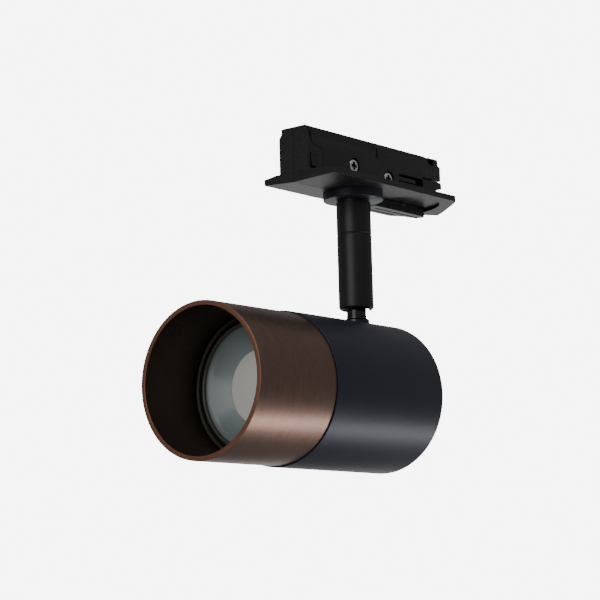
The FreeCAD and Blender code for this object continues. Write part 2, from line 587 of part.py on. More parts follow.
# ---- hub, nipple and stem ---------------------------------------------------------------------
def hub_disc():
    """The round plate under the flange, its top shaped to the flange's ridged underside."""
    disc = rod(HUB_R, (0, 0, HUB_BOTTOM), (0, 0, EDGE_BOTTOM))
    w = FLANGE_HALF_WIDTH
    above = [(-w, EDGE_BOTTOM - STATIC_GAP), (BODY_OFFSET, RIDGE_BOTTOM - STATIC_GAP), (w, EDGE_BOTTOM - STATIC_GAP),
             (w, 5), (-w, 5)]
    shaped = disc.cut(prism_x(above, -HUB_R - 1, HUB_R + 1))
    lower_rim = [e for e in shaped.Edges if abs(e.BoundBox.ZMax - HUB_BOTTOM) < 1e-6 and e.BoundBox.XLength > HUB_R]
    shaped = shaped.makeFillet(0.35, lower_rim)
    return shaped.cut(rod(NIPPLE_R + STATIC_GAP, (0, 0, HUB_BOTTOM - 1), (0, 0, 0)))


def swivel_nipple():
    """The hollow threaded tube that carries the stem, headed inside the adapter."""
    tube = ring(NIPPLE_R, NIPPLE_BORE_R, (0, 0, NIPPLE_END), (0, 0, NIPPLE_HEAD_TOP))
    head = ring(NIPPLE_HEAD_R, NIPPLE_BORE_R, (0, 0, NIPPLE_HEAD_TOP - NIPPLE_HEAD_H), (0, 0, NIPPLE_HEAD_TOP))
    return fuse_all([tube, head])


def stem_collar():
    """The fixed upper piece of the stem, with a narrow neck under the hub."""
    neck = 0.9
    collar = fuse_all([rod(STEM_R - 0.5, (0, 0, HUB_BOTTOM - neck), (0, 0, HUB_BOTTOM - STATIC_GAP)),
                       rod(STEM_R, (0, 0, SEAM_Z), (0, 0, HUB_BOTTOM - neck))])
    low = [e for e in collar.Edges if abs(e.BoundBox.ZMax - SEAM_Z) < 1e-6]
    collar = collar.makeChamfer(0.25, low)
    bore = rod(NIPPLE_R + STATIC_GAP, (0, 0, SEAM_Z - 1), (0, 0, 0))
    pin_hole = rod(STOP_PIN_R + STATIC_GAP, (-STOP_RING_R, 0, SEAM_Z - 1), (-STOP_RING_R, 0, SEAM_Z + 2.6))
    return cut_all(collar, [bore, pin_hole])


def stop_pin():
    return rod(STOP_PIN_R, (-STOP_RING_R, 0, STEM_TOP - 1.3), (-STOP_RING_R, 0, SEAM_Z + 2.5))


def thrust_washer():
    washer = ring(STEM_R - 0.25, NIPPLE_R + RUNNING_GAP, (0, 0, SEAM_Z - THRUST_WASHER_H), (0, 0, SEAM_Z))
    return washer.cut(rod(STOP_PIN_R + STATIC_GAP, (-STOP_RING_R, 0, SEAM_Z - 1), (-STOP_RING_R, 0, SEAM_Z + 1)))


def swivel_washer():
    z = SHOULDER_Z - 0.1
    return ring(STEM_BORE_R - MOVING_GAP, NIPPLE_R + STATIC_GAP, (0, 0, z - POST_WASHER_H), (0, 0, z))


def swivel_nut():
    """A round nut with two spanner slots, because a hexagon would not fit in the stem."""
    z = SHOULDER_Z - 0.1 - POST_WASHER_H
    low = z - SWIVEL_NUT_H
    nut = ring(STEM_BORE_R - MOVING_GAP, NIPPLE_R + STATIC_GAP, (0, 0, low), (0, 0, z))
    return nut.cut(box(-9, 9, -0.6, 0.6, low - 1, low + 1.2))


def stem_tube():
    """The turning part of the stem, slotted behind so that the knuckle can fold back."""
    tube = rod(STEM_R, (0, 0, STEM_END), (0, 0, STEM_TOP))
    ends = sorted((e for e in tube.Edges if e.Closed and e.BoundBox.ZLength < 1e-6), key=lambda e: e.BoundBox.ZMin)
    tube = tube.makeFillet(0.3, ends[1:])
    low = [e for e in tube.Edges if e.Closed and e.BoundBox.ZMax < STEM_END + 0.01]
    tube = tube.makeFillet(STEM_END_ROUND, low)
    bore = rod(STEM_BORE_R, (0, 0, STEM_END - 1), (0, 0, SHOULDER_Z))
    top_bore = rod(NIPPLE_R + RUNNING_GAP, (0, 0, SHOULDER_Z - 1), (0, 0, STEM_TOP + 1))
    half = BLADE_HALF_WIDTH + MOVING_GAP
    slot = box(0, STEM_R + 1, -half, half, STEM_END - 1, TILT_Z + POST_R + MOVING_GAP)
    groove = ring(STOP_RING_R + STOP_PIN_R + 0.1, STOP_RING_R - STOP_PIN_R - 0.1, (0, 0, STEM_TOP - 1.6), (0, 0, STEM_TOP + 1))
    web_reach = STEM_R * math.tan(math.radians(STOP_WEB_HALF_DEG))
    web = prism_z([(0, 0), (STEM_R, -web_reach), (STEM_R, web_reach)], STEM_TOP - 2, STEM_TOP + 2)
    pin_holes = rod(PIVOT_PIN_R + STATIC_GAP, (0, -PIN_REACH, TILT_Z), (0, PIN_REACH, TILT_Z))
    return cut_all(tube, [bore, top_bore, slot, groove.cut(web), pin_holes])


def pivot_pins():
    """Two short pins, set in blind holes from inside the stem, that the knuckle's eye hangs on."""
    return Part.makeCompound([rod(PIVOT_PIN_R, (0, side * (POST_BORE_R + 0.2), TILT_Z), (0, side * (PIN_REACH - 0.05), TILT_Z))
                              for side in (-1, 1)])


def friction_washers():
    radius = 2.9
    outer = math.sqrt(STEM_BORE_R ** 2 - radius ** 2) - STATIC_GAP
    inner = BLADE_HALF_WIDTH + 0.1
    washers = [ring(radius, PIVOT_PIN_R + STATIC_GAP, (0, side * inner, TILT_Z), (0, side * outer, TILT_Z))
               for side in (-1, 1)]
    return Part.makeCompound(washers)


def stem_leads():
    top = NIPPLE_END - 2.0
    bottom = TILT_Z + POST_R + 0.6
    return Part.makeCompound([rod(LEAD_R, (x, y, bottom), (x, y, top)) for x, y in lead_places()])


# ---- knuckle, which rides on the head ----------------------------------------------------------
def knuckle():
    """A round post with a flat-sided eye at its top and a foot that sits on the head tube."""
    axis_z = -HEAD_DROP
    shank_end = axis_z + HEAD_BORE_R - 5.8
    post = rod(POST_R, (0, 0, shank_end), (0, 0, TILT_Z))
    crown = Part.makeSphere(POST_R, V(0, 0, TILT_Z))
    flats = [box(-9, 9, s * (BLADE_HALF_WIDTH + 5) - 5, s * (BLADE_HALF_WIDTH + 5) + 5, TILT_Z - BLADE_END, TILT_Z + 9)
             for s in (-1, 1)]
    foot = rod(FOOT_R, (0, 0, axis_z + HEAD_R - 1.2), (0, 0, axis_z + HEAD_R + FOOT_H))
    top_rim = [e for e in foot.Edges if e.Closed and e.BoundBox.ZMin > axis_z + HEAD_R]
    foot = foot.makeChamfer(0.6, top_rim)
    foot = foot.cut(rod(HEAD_R + STATIC_GAP, (-20, 0, axis_z), (20, 0, axis_z)))
    eye_hole = rod(PIVOT_PIN_R + RUNNING_GAP, (0, -9, TILT_Z), (0, 9, TILT_Z))
    bore = rod(POST_BORE_R, (0, 0, shank_end - 1), (0, 0, TILT_Z + 9))
    return cut_all(fuse_all([post, crown, foot]), flats + thread_grooves() + [eye_hole, bore])


def thread_grooves():
    """Rings that stand for the thread where the post shows between the stem and the foot."""
    grooves = []
    top = TILT_Z - POST_R - 0.4
    count = int((top - (FOOT_H + HEAD_R - HEAD_DROP)) / THREAD_PITCH)
    for k in range(count):
        z = top - THREAD_PITCH * k
        middle = POST_R - THREAD_DEPTH
        profile = face([(middle, 0, z), (POST_R + 0.5, 0, z + 0.45 * THREAD_PITCH), (POST_R + 0.5, 0, z - 0.45 * THREAD_PITCH)])
        grooves.append(profile.revolve(V(0, 0, 0), V(0, 0, 1), 360))
    return grooves


def post_washer():
    top = post_washer_top()
    return ring(POST_WASHER_R, POST_R + STATIC_GAP, (0, 0, top - POST_WASHER_H), (0, 0, top))


def post_washer_top():
    """The washer's rim touches the inside of the head tube first."""
    return -HEAD_DROP + math.sqrt(HEAD_BORE_R ** 2 - POST_WASHER_R ** 2) - STATIC_GAP


def post_nut():
    top = post_washer_top() - POST_WASHER_H
    nut = hexagon(POST_NUT_FLATS, top - POST_NUT_H, top)
    return nut.cut(rod(POST_R + STATIC_GAP, (0, 0, top - POST_NUT_H - 1), (0, 0, top + 1)))


# ---- head shell and snoot ----------------------------------------------------------------------
def head_tube():
    edge = 0.25
    profile = [(HEAD_FRONT, HEAD_BORE_R), (HEAD_FRONT, HEAD_R - edge), (HEAD_FRONT + edge, HEAD_R),
               (HEAD_REAR - edge, HEAD_R), (HEAD_REAR, HEAD_R - edge), (HEAD_REAR, HEAD_BORE_R)]
    hole = rod(POST_R + STATIC_GAP, (0, 0, -HEAD_DROP + 10), (0, 0, -HEAD_DROP + HEAD_R + 5))
    return turned(profile).cut(hole)


def rear_cap():
    rear = HEAD_REAR - REAR_CAP_INSET
    r = HEAD_BORE_R - STATIC_GAP
    cap = turned([(CAP_FRONT, 0), (CAP_FRONT, r), (rear - 0.4, r), (rear, r - 0.4), (rear, 0)])
    sinks = [on_head(countersunk(side, STATIC_GAP)) for side in (-1, 1)]
    return cut_all(cap, sinks)


def countersunk(side, grow):
    """A flat-headed screw from the rear cap into the bracket's foot, made about the X axis."""
    rear = HEAD_REAR - REAR_CAP_INSET
    y = side * CAP_SCREW_Y
    head = Part.makeCone(SMALL_SCREW_R + grow, SMALL_HEAD_R + grow, SMALL_HEAD_H, V(rear - SMALL_HEAD_H, y, 0), V(1, 0, 0))
    shank = rod(SMALL_SCREW_R + grow, (CAP_FRONT - 3.4, y, 0), (rear - SMALL_HEAD_H + 0.2, y, 0))
    return head.fuse(shank)


def rear_screws():
    rear = HEAD_REAR - REAR_CAP_INSET
    screws = []
    for side in (-1, 1):
        y = side * CAP_SCREW_Y
        slots = box(rear - 0.8, rear + 1, y - 0.35, y + 0.35, -1.8, 1.8).fuse(
            box(rear - 0.8, rear + 1, y - 1.8, y + 1.8, -0.35, 0.35))
        screws.append(on_head(countersunk(side, 0).cut(slots)))
    return Part.makeCompound(screws)


def coupling_sleeve():
    """The ring fixed in the head tube that the snoot pushes onto; its lip shows round the lamp."""
    seat_r = HEAD_BORE_R - STATIC_GAP
    rear = HEAD_FRONT + SLEEVE_TAIL
    profile = [(SLEEVE_FRONT, SLEEVE_BORE_R + 0.5), (SLEEVE_FRONT, SLEEVE_R - 0.2), (SLEEVE_FRONT + 0.2, SLEEVE_R),
               (HEAD_FRONT - 0.15, SLEEVE_R), (HEAD_FRONT - 0.15, seat_r), (rear, seat_r), (rear, SLEEVE_BORE_R),
               (SLEEVE_FRONT + 0.5, SLEEVE_BORE_R)]
    grooves = [turned([(x - O_RING_R - 0.1, o_ring_centre_r() - O_RING_R - STATIC_GAP), (x - O_RING_R - 0.1, SLEEVE_R + 1),
                       (x + O_RING_R + 0.1, SLEEVE_R + 1), (x + O_RING_R + 0.1, o_ring_centre_r() - O_RING_R - STATIC_GAP)])
               for x in O_RING_PLACES]
    return cut_all(turned(profile), grooves)


def o_ring_centre_r():
    return SNOOT_BORE_R + SNOOT_RELIEF - 0.1 - O_RING_R


def o_rings():
    rings = [on_head(Part.makeTorus(o_ring_centre_r(), O_RING_R, V(x, 0, 0), V(1, 0, 0))) for x in O_RING_PLACES]
    return Part.makeCompound(rings)


def snoot():
    edge = 0.25
    relief_start = SLEEVE_FRONT - 0.6
    wide = SNOOT_BORE_R + SNOOT_RELIEF
    profile = [(SNOOT_FRONT, SNOOT_BORE_R + edge), (SNOOT_FRONT, SNOOT_R - edge), (SNOOT_FRONT + edge, SNOOT_R),
               (SNOOT_REAR - edge, SNOOT_R), (SNOOT_REAR, SNOOT_R - edge), (SNOOT_REAR, wide), (relief_start, wide),
               (relief_start, SNOOT_BORE_R), (SNOOT_FRONT + edge, SNOOT_BORE_R)]
    return turned(profile)


# ---- lamp --------------------------------------------------------------------------------------
def lamp_bezel():
    lip = LAMP_FRONT
    profile = [(lip + 4.0, LENS_R + 0.1), (lip + 0.9, LENS_R + 0.1), (lip + 0.2, LENS_R + 0.45), (lip, LENS_R + 0.75),
               (lip + 0.1, LAMP_R - 0.35), (lip + 0.6, LAMP_R), (lip + 4.0, LAMP_R)]
    return turned(profile)


def lamp_lens():
    """The frosted front: a shallow cone with a slightly domed disc in its middle."""
    rim = LAMP_FRONT + 0.9
    back = LAMP_FRONT + LENS_DEPTH
    r = LENS_R
    d = LENS_DISC_R
    t = 1.2
    front = [(rim, r), (rim, r - 0.5), (back - 0.3, d + 0.15), (back, d + 0.05), (back - 0.1, d - 0.3)]
    dome = [(back - 0.2 - 0.6 * (1 - (k / 6) ** 2), (d - 0.5) * k / 6) for k in range(5, -1, -1)]
    rear = [(back + t, 0), (back + t, d), (rim + t + 0.6, r)]
    return turned(front + dome + rear)


def lamp_housing():
    f = LAMP_FRONT + 4.0 + STATIC_GAP
    b = LAMP_BASE_FRONT
    outside = [(f, LAMP_R), (f + 4, LAMP_R - 0.3), (f + 12, LAMP_R - 3.6), (f + 22, LAMP_R - 8.6), (b, LAMP_BASE_R)]
    inside = [(b, 5.0), (f + 22, 9.0), (f + 12, LAMP_R - 6.0), (f + 4, LAMP_R - 2.4), (f, LAMP_R - 2.2)]
    shell = turned(outside + inside)
    fins = []
    for k in range(12):
        slot = box(f + 5, b - 4, -0.7, 0.7, LAMP_BASE_R + 1.2, LAMP_R + 2)
        slot.rotate(V(0, 0, 0), V(1, 0, 0), 30 * k)
        fins.append(on_head(slot))
    limit = turned([(f + 5, LAMP_R - 1.3), (f + 12, LAMP_R - 4.4), (f + 22, LAMP_R - 9.4), (b - 2, LAMP_BASE_R + 1),
                    (b - 2, LAMP_R + 5), (f + 5, LAMP_R + 5)])
    return shell.cut(Part.makeCompound(fins).common(limit))


def lamp_reflector():
    f = LAMP_FRONT + REFLECTOR_START
    profile = [(f, 20.7), (f, 21.3), (f + 0.6, 21.3), (f + 8.4, 17.0), (f + 17.2, 9.9), (f + 17.2, 9.0),
               (f + 8.0, 16.2), (f + 0.6, 20.7)]
    return turned(profile)


def led_board():
    x = LAMP_FRONT + BOARD_START
    board = [rod(8.6, (x, 0, 0), (x + 1.4, 0, 0)), rod(5.5, (x - 0.8, 0, 0), (x + 0.1, 0, 0))]
    return on_head(fuse_all(board))


def lamp_base():
    b = LAMP_BASE_FRONT + STATIC_GAP
    e = LAMP_BASE_REAR
    body = turned([(b, 0), (b, LAMP_BASE_R - 0.2), (b + 6, LAMP_BASE_R - 0.6), (e - 2, LAMP_BASE_R - 1.6), (e, 9.4), (e, 0)])
    holes = [on_head(rod(PIN_R + STATIC_GAP, (e - 4, s * PIN_SPACING / 2, 0), (e + 1, s * PIN_SPACING / 2, 0)))
             for s in (-1, 1)]
    return cut_all(body, holes)


def lamp_pins():
    pins = []
    for s in (-1, 1):
        y = s * PIN_SPACING / 2
        tip = LAMP_BASE_REAR + PIN_LENGTH
        pin = fuse_all([rod(PIN_R, (LAMP_BASE_REAR - 3.9, y, 0), (tip, y, 0)), rod(PIN_HEAD_R, (tip - 2.0, y, 0), (tip, y, 0))])
        pins.append(on_head(pin))
    return Part.makeCompound(pins)


# ---- lampholder, bracket and head wiring --------------------------------------------------------
def pin_track(half_width, x0, x1):
    """The arc that one pin of the lamp sweeps as the lamp twists, made about the X axis."""
    middle = PIN_SPACING / 2
    start = rod(half_width, (x0, middle, 0), (x1, middle, 0))
    end = start.copy()
    end.rotate(V(0, 0, 0), V(1, 0, 0), LAMP_TWIST_DEG)
    profile = face([(x0, middle - half_width, 0), (x1, middle - half_width, 0), (x1, middle + half_width, 0),
                    (x0, middle + half_width, 0)])
    swept = profile.revolve(V(0, 0, 0), V(1, 0, 0), LAMP_TWIST_DEG)
    return fuse_all([swept, start, end])


def lampholder():
    """A ceramic block with two keyhole slots for the lamp's pins."""
    block = rod(HOLDER_R, (HOLDER_FRONT, 0, 0), (HOLDER_REAR, 0, 0))
    cuts = []
    for s in (-1, 1):
        y = s * PIN_SPACING / 2
        narrow = pin_track(PIN_R + MOVING_GAP, HOLDER_FRONT - 1, HOLDER_FRONT + HOLDER_PLATE)
        wide = pin_track(PIN_HEAD_R + MOVING_GAP, HOLDER_FRONT + HOLDER_PLATE, HOLDER_FRONT + 8.6)
        entry = rod(PIN_HEAD_R + MOVING_GAP, (HOLDER_FRONT - 1, PIN_SPACING / 2, 0),
                    (HOLDER_FRONT + HOLDER_PLATE + 0.1, PIN_SPACING / 2, 0))
        entry.rotate(V(0, 0, 0), V(1, 0, 0), LAMP_TWIST_DEG)
        for tool in (narrow, wide, entry):
            if s < 0:
                tool.rotate(V(0, 0, 0), V(1, 0, 0), 180)
            cuts.append(tool)
        cuts.append(rod(SMALL_SCREW_R + STATIC_GAP, (HOLDER_FRONT - 1, 0, s * HOLDER_SCREW_Z), (HOLDER_REAR + 1, 0, s * HOLDER_SCREW_Z)))
        cuts.append(rod(SMALL_HEAD_R + 0.2, (HOLDER_FRONT - 1, 0, s * HOLDER_SCREW_Z), (HOLDER_FRONT + 4, 0, s * HOLDER_SCREW_Z)))
        cuts.append(rod(LEAD_R + STATIC_GAP, (HOLDER_REAR - 3.5, y, HOLDER_SCREW_Z), (HOLDER_REAR + 1, y, HOLDER_SCREW_Z)))
    return on_head(cut_all(block, cuts))


def holder_contacts():
    clips = []
    for s in (-1, 1):
        y = s * PIN_SPACING / 2
        low = HOLDER_FRONT + 7.3
        clip = ring(PIN_HEAD_R + 0.2, PIN_HEAD_R - 0.6, (low, y, 0), (HOLDER_FRONT + 8.5, y, 0))
        clips.append(on_head(clip))
    return Part.makeCompound(clips)


def holder_screws():
    screws = []
    for s in (-1, 1):
        z = s * HOLDER_SCREW_Z
        head = rod(SMALL_HEAD_R, (HOLDER_FRONT + 2.2, 0, z), (HOLDER_FRONT + 3.95, 0, z))
        shank = rod(SMALL_SCREW_R, (HOLDER_FRONT + 3.5, 0, z), (BRACKET_REAR + 4.0, 0, z))
        slot = box(HOLDER_FRONT, HOLDER_FRONT + 2.9, -3, 3, z - 0.35, z + 0.35)
        screws.append(on_head(head.fuse(shank).cut(slot)))
    return Part.makeCompound(screws)


def holder_nuts():
    nuts = []
    for s in (-1, 1):
        nut = hexagon(5.5, 0, 2.4).cut(rod(SMALL_SCREW_R + STATIC_GAP, (0, 0, -1), (0, 0, 4)))
        nut.rotate(V(0, 0, 0), V(0, 1, 0), 90)
        nut.translate(V(BRACKET_REAR + STATIC_GAP, 0, s * HOLDER_SCREW_Z))
        nuts.append(on_head(nut))
    return Part.makeCompound(nuts)


def holder_bracket():
    """The bent strip between the lampholder and the rear cap."""
    w, h, t = BRACKET_HALF_WIDTH, BRACKET_HALF_HEIGHT, BRACKET_T
    rear = CAP_FRONT - STATIC_GAP
    pieces = [box(BRACKET_FRONT, BRACKET_REAR, -w, w, -h, h),
              box(BRACKET_FRONT, BRACKET_REAR, -4.2, 4.2, -HOLDER_SCREW_Z - 3.4, HOLDER_SCREW_Z + 3.4)]
    for s in (-1, 1):
        a, b = sorted((s * w, s * (w - t)))
        pieces.append(box(BRACKET_FRONT, rear, a, b, -h, h))
        a, b = sorted((s * w, s * (CAP_SCREW_Y - 4)))
        pieces.append(box(rear - t, rear, a, b, -h, h))
    holes = [rod(SMALL_SCREW_R + STATIC_GAP, (-5, 0, s * HOLDER_SCREW_Z), (5, 0, s * HOLDER_SCREW_Z)) for s in (-1, 1)]
    holes += [rod(SMALL_SCREW_R + STATIC_GAP, (rear - 5, s * CAP_SCREW_Y, 0), (rear + 2, s * CAP_SCREW_Y, 0)) for s in (-1, 1)]
    holes.append(rod(1.25 + STATIC_GAP, (-5, EARTH_Y, 0), (BRACKET_REAR + 1, EARTH_Y, 0)))
    return on_head(cut_all(fuse_all(pieces), holes))


def earth_screw():
    head = rod(2.4, (BRACKET_REAR + 0.9, EARTH_Y, 0), (BRACKET_REAR + 2.4, EARTH_Y, 0))
    shank = rod(1.25, (BRACKET_FRONT - 1.5, EARTH_Y, 0), (BRACKET_REAR + 1.0, EARTH_Y, 0))
    slot = box(BRACKET_REAR + 1.8, BRACKET_REAR + 3, EARTH_Y - 3, EARTH_Y + 3, -0.35, 0.35)
    return on_head(head.fuse(shank).cut(slot))


def earth_tag():
    """The ring tag that ends the earth lead, under the earth screw's head."""
    x0, x1 = BRACKET_REAR + STATIC_GAP, BRACKET_REAR + 0.85
    tag = fuse_all([rod(2.8, (x0, EARTH_Y, 0), (x1, EARTH_Y, 0)), box(x0, x1, EARTH_Y - 1, EARTH_Y + 1, 0, 5.2)])
    return on_head(tag.cut(rod(1.3, (x0 - 1, EARTH_Y, 0), (x1 + 1, EARTH_Y, 0))))


def head_leads():
    """Two leads from the knuckle to the lampholder, and the earth lead to its tag."""
    top = HEAD_DROP + TILT_Z + POST_R - 0.6
    turn = 17.5
    back = 5.5
    depth = HOLDER_REAR - 3.0
    (x2, y2), (x3, y3), (x1, y1) = lead_places()
    half = PIN_SPACING / 2
    live = [(x3, y3, top), (x3, y3, turn), (back, half * 0.5, turn - 5.5), (back - 1.0, half, HOLDER_SCREW_Z + 0.1),
            (depth, half, HOLDER_SCREW_Z)]
    neutral = [(x2, y2, top), (x2, y2, turn), (back, -half * 0.6, turn - 5.0), (back - 1.0, -half, HOLDER_SCREW_Z + 0.1),
               (depth, -half, HOLDER_SCREW_Z)]
    earth = [(x1, y1, top), (x1, y1, turn + 1), (back - 1.5, EARTH_Y - 3, 12.5),
             (BRACKET_REAR + 0.55, EARTH_Y, 8.5), (BRACKET_REAR + 0.55, EARTH_Y, 5.3)]
    return Part.makeCompound([on_head(wire_tube(points, LEAD_R, 1.2)) for points in (live, neutral, earth)])


# ---- write every piece --------------------------------------------------------------------------
def main():
    os.makedirs("parts", exist_ok=True)
    near_half, far_half = adapter_halves()
    nodes = {
        "adapter_near_half": near_half,
        "adapter_far_half": far_half,
        "adapter_end_block": end_block(),
        "adapter_end_hook": end_hook(),
        "housing_screws": housing_screws(),
        "live_contact": contact(CONTACT_PLACES[0]),
        "neutral_contact": contact(CONTACT_PLACES[1]),
        "earth_contact": contact(CONTACT_PLACES[2]),
        "contact_carrier": contact_carrier(),
        "terminal_block": terminal_block(),
        "terminal_screws": terminal_screws(),
        "supply_leads": supply_leads(),
        "lock_lever": lock_lever(),
        "lock_cam": lock_cam(),
        "cam_screw": cam_screw(),
        "cam_spacer": cam_spacer(),
        "hub_disc": hub_disc(),
        "swivel_nipple": swivel_nipple(),
        "stem_collar": stem_collar(),
        "stop_pin": stop_pin(),
        "thrust_washer": thrust_washer(),
        "swivel_washer": swivel_washer(),
        "swivel_nut": swivel_nut(),
        "stem_tube": stem_tube(),
        "pivot_pins": pivot_pins(),
        "friction_washers": friction_washers(),
        "stem_leads": stem_leads(),
        "knuckle": knuckle(),
        "knuckle_washer": post_washer(),
        "knuckle_nut": post_nut(),
        "head_tube": head_tube(),
        "rear_cap": rear_cap(),
        "rear_screws": rear_screws(),
        "coupling_sleeve": coupling_sleeve(),
        "snoot_o_rings": o_rings(),
        "snoot": snoot(),
        "lamp_bezel": lamp_bezel(),
        "lamp_lens": lamp_lens(),
        "lamp_housing": lamp_housing(),
        "lamp_reflector": lamp_reflector(),
        "led_board": led_board(),
        "lamp_base": lamp_base(),
        "lamp_pins": lamp_pins(),
        "lampholder": lampholder(),
        "holder_contacts": holder_contacts(),
        "holder_screws": holder_screws(),
        "holder_nuts": holder_nuts(),
        "holder_bracket": holder_bracket(),
        "earth_screw": earth_screw(),
        "earth_tag": earth_tag(),
        "head_leads": head_leads(),
    }
    for name, shape in nodes.items():
        shape.exportStep("parts/" + name + ".step")
        print(name, len(shape.Solids), round(shape.Volume, 1), shape.isValid())


main()
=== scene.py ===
"""Looks for the track spotlight: smooth turned shells, detail and materials around the CAD frame."""
import json
import math

import bpy
import bmesh
from mathutils import Matrix, Vector


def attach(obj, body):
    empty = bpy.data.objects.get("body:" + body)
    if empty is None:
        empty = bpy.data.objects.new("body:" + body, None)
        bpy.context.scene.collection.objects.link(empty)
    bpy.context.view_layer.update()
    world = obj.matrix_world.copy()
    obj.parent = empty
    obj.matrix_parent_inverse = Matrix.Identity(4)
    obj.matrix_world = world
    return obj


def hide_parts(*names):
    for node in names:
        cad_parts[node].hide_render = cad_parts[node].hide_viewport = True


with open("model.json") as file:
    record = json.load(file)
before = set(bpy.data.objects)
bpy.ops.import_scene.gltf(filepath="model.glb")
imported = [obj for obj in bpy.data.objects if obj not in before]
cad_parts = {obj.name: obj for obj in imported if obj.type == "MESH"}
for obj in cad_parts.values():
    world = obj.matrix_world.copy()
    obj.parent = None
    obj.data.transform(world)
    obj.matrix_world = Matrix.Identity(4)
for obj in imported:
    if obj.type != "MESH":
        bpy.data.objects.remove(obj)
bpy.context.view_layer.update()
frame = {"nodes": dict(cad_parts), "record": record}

MM = 0.001
TURN_STEPS = 256             # segments round a turned piece
CORNER_STEPS = 5             # segments round an outline's rounded corner
TURNED_SHARP = 40            # degrees at which a turned piece's shading splits
NODE_SHARP = 32              # degrees at which a CAD node's shading splits, and its bevel starts
ALONG_HEAD = (1, 0, 0)
ALONG_STEM = (0, 0, 1)
HEAD_AXIS = (0, 0, -87.5)    # a point on the head's axis, in mm
HEAD_Z = HEAD_AXIS[2] * MM

# Outlines of the turned pieces. Each point is (distance along the axis, radius, corner rounding), in mm.
HEAD_OUTLINE = ((-50.7, 28.0, 0.1), (-50.7, 30.0, 0.28), (15.8, 30.0, 0.3), (15.8, 28.0, 0.2))
SNOOT_OUTLINE = ((-94.3, 27.65, 0.2), (-94.3, 29.5, 0.25), (-51.0, 29.5, 0.25), (-51.0, 27.75, 0.1),
                 (-67.2, 27.75, 0), (-67.2, 27.65, 0))
COLLAR_OUTLINE = ((-8.1, 4.6, 0), (-21.2, 4.6, 0), (-21.2, 7.0, 0.3), (-8.1, 7.0, 0.35), (-8.1, 6.5, 0),
                  (-7.25, 6.5, 0), (-7.25, 4.6, 0))
BEZEL_OUTLINE = ((-62.2, 23.4, 0), (-65.3, 23.4, 0.1), (-66.0, 23.75, 0.2), (-66.2, 24.05, 0.15),
                 (-66.1, 24.65, 0.3), (-65.6, 25.0, 0.3), (-62.2, 25.0, 0))
SNOOT_INSIDE_R = 27.9        # inward faces nearer the axis than this are the snoot's inside
SNOOT_RIM_X = -94.0          # faces further forward than this are its rim

# Radii, in mm, between which the lens's colour changes.
LENS_CONE = (23.0, 15.0)
LENS_DISC = (14.5, 14.2)

# Between these heights across the adapter, in mm, a screw goes from its bright face to black painted shade in
# its slot and round its sides.
SCREW_FACE = (-3.50, -3.30)

# CAD nodes with a look other than their material slot's.
OTHER_LOOKS = {
    "stem_tube": "stem_paint",
    "stem_collar": "stem_paint",
    "housing_screws": "screw_steel",
}

# Bevel width, in mm, on the nodes with moulded edges.
BEVELLED = {
    "adapter_near_half": 0.18,
    "adapter_far_half": 0.18,
    "adapter_end_block": 0.15,
    "adapter_end_hook": 0.15,
    "lock_lever": 0.25,
    "lock_cam": 0.15,
}

FLOOR_Z = -1.6
FLOOR_GLOW = 6.5             # seen by the camera only, so that the floor meets the background
BACKGROUND = 7.0             # seen by the camera only
FILL = 0.24                  # what lights the object from all round
FILL_COLOR = (0.97, 0.96, 1.0, 1)


